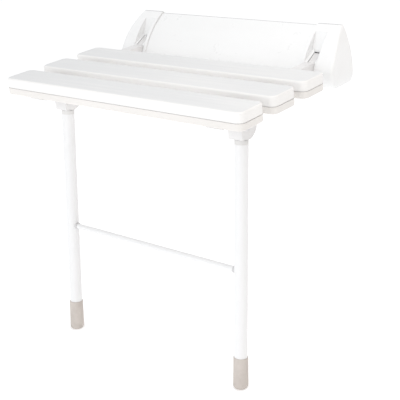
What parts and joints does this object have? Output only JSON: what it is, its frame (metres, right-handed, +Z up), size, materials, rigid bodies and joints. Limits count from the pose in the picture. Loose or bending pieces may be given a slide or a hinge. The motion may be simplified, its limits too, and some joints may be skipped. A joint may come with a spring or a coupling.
{
  "type": "wall-mounted folding shower seat",
  "caption": "White fold-down shower seat with wide plastic slats, a slim wall housing with hinges, and a folding leg frame with a cross rod and rubber feet.",
  "frame": {"origin": "centre of the wall plate's back face, which lies on the wall; the seat's top surface is at Z = 0", "axes": "+Y points into the wall and -Y into the room, +X is to the right for someone facing the wall, +Z is up"},
  "size_m": [0.5, 0.342, 0.5336],
  "materials": {
    "slat_top_plastic": "satin moulded, white",
    "slat_under_plastic": "satin moulded, white",
    "cover_plastic": "satin moulded, white",
    "arm_paint": "powder coated, white",
    "tube_paint": "powder coated, white",
    "head_plastic": "moulded, off-white",
    "foot_rubber": "matte, warm light grey",
    "ring_plastic": "grey",
    "plate_steel": "zinc plated",
    "fastener_steel": "stainless",
    "bearing_plastic": "natural acetal",
    "pad_rubber": "black"
  },
  "bodies": {
    "wall_unit": {"wall_plate": "plate_steel", "hinge_bracket_left": "plate_steel", "hinge_bracket_right": "plate_steel", "hinge_bracket_bolts": "fastener_steel", "hinge_pin_left": "fastener_steel", "hinge_pin_right": "fastener_steel", "hinge_pin_clips": "fastener_steel", "hinge_washers": "bearing_plastic", "stop_pad_left": "pad_rubber", "stop_pad_right": "pad_rubber", "middle_cover": "cover_plastic", "end_cap_left": "cover_plastic", "end_cap_right": "cover_plastic", "cover_screws": "fastener_steel"},
    "seat": {"seat_arm_left": "arm_paint", "seat_arm_right": "arm_paint", "hinge_bush_left": "bearing_plastic", "hinge_bush_right": "bearing_plastic", "slat_screws": "fastener_steel", "leg_bracket_left": "arm_paint", "leg_bracket_right": "arm_paint", "bracket_rivets": "fastener_steel", "leg_pin_left": "fastener_steel", "leg_pin_right": "fastener_steel", "leg_pin_clips": "fastener_steel", "rear_slat_upper_shell": "slat_top_plastic", "rear_slat_lower_shell": "slat_under_plastic", "middle_slat_upper_shell": "slat_top_plastic", "middle_slat_lower_shell": "slat_under_plastic", "front_slat_upper_shell": "slat_top_plastic", "front_slat_lower_shell": "slat_under_plastic"},
    "legs": {"leg_head_left": "head_plastic", "leg_head_right": "head_plastic", "leg_bush_left": "bearing_plastic", "leg_bush_right": "bearing_plastic", "leg_tube_left": "tube_paint", "leg_tube_right": "tube_paint", "cross_rod": "tube_paint", "rod_ring_left": "ring_plastic", "rod_ring_right": "ring_plastic", "foot_left": "foot_rubber", "foot_right": "foot_rubber"}
  },
  "joints": [
    {"name": "seat_fold", "type": "hinge", "parent": "wall_unit", "child": "seat", "pos_m": [0, -0.04, -0.01], "axis": [-1, 0, 0], "range_deg": [0, 90]},
    {"name": "legs_fold", "type": "hinge", "parent": "seat", "child": "legs", "pos_m": [0, -0.26, -0.05], "axis": [1, 0, 0], "range_deg": [0, 90]}
  ]
}
